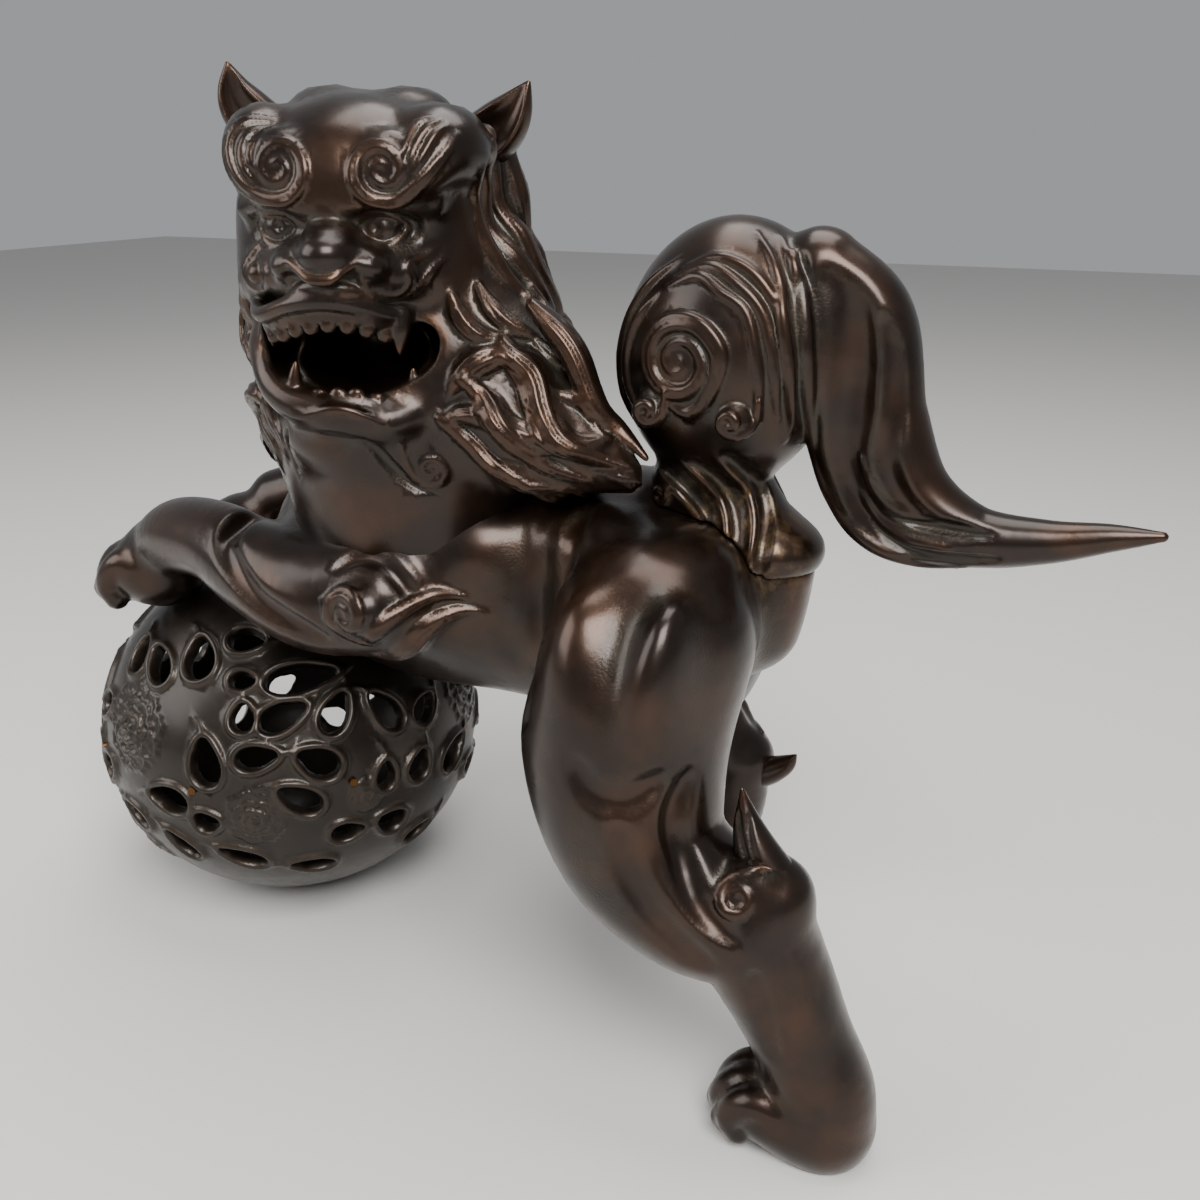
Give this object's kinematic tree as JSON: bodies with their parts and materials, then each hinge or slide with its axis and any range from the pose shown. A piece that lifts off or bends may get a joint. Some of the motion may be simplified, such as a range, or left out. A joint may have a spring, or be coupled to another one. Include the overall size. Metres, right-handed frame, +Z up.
{
  "type": "foo dog statue",
  "caption": "Bronze guardian lion striding with its forepaws on an openwork ball, head turned aside with open jaws, and a tall swirled tail that lifts out of its socket.",
  "frame": {"origin": "on the ground under the middle of the bounding box", "axes": "+Z up, +X towards the tail and -X towards the ball, +Y towards the lion's right flank; the face looks to -Y"},
  "size_m": [0.3948, 0.172, 0.3145],
  "materials": {
    "body_bronze": "cast bronze, chased and waxed, dark brown patina with warm worn edges",
    "ball_bronze": "cast openwork bronze, greyer brown patina, drier surface",
    "bronze_rivet": "filed flush and patinated",
    "brass_fixing": "plain turned brass, dulled",
    "iron_wedge": "forged iron pin, dark oxide"
  },
  "bodies": {
    "statue": {"torso": "body_bronze", "head": "body_bronze", "left_ear": "body_bronze", "right_ear": "body_bronze", "left_foreleg": "body_bronze", "right_foreleg": "body_bronze", "left_hind_leg": "body_bronze", "right_hind_leg": "body_bronze", "left_hock_flame": "body_bronze", "right_hock_flame": "body_bronze", "ball_upper_half": "ball_bronze", "ball_lower_half": "ball_bronze", "left_paw_stud": "brass_fixing", "right_paw_stud": "brass_fixing", "left_paw_washer": "brass_fixing", "right_paw_washer": "brass_fixing", "left_paw_nut": "brass_fixing", "right_paw_nut": "brass_fixing", "left_shoulder_wedge": "iron_wedge", "right_shoulder_wedge": "iron_wedge", "left_hip_wedge": "iron_wedge", "right_hip_wedge": "iron_wedge", "neck_rivets": "bronze_rivet", "ball_rivets": "bronze_rivet"},
    "tail_piece": {"tail": "body_bronze"}
  },
  "joints": [
    {"name": "tail_lift", "type": "slide", "parent": "statue", "child": "tail_piece", "axis": [0.1736, 0, 0.9848], "range_m": [0, 0.045]}
  ]
}
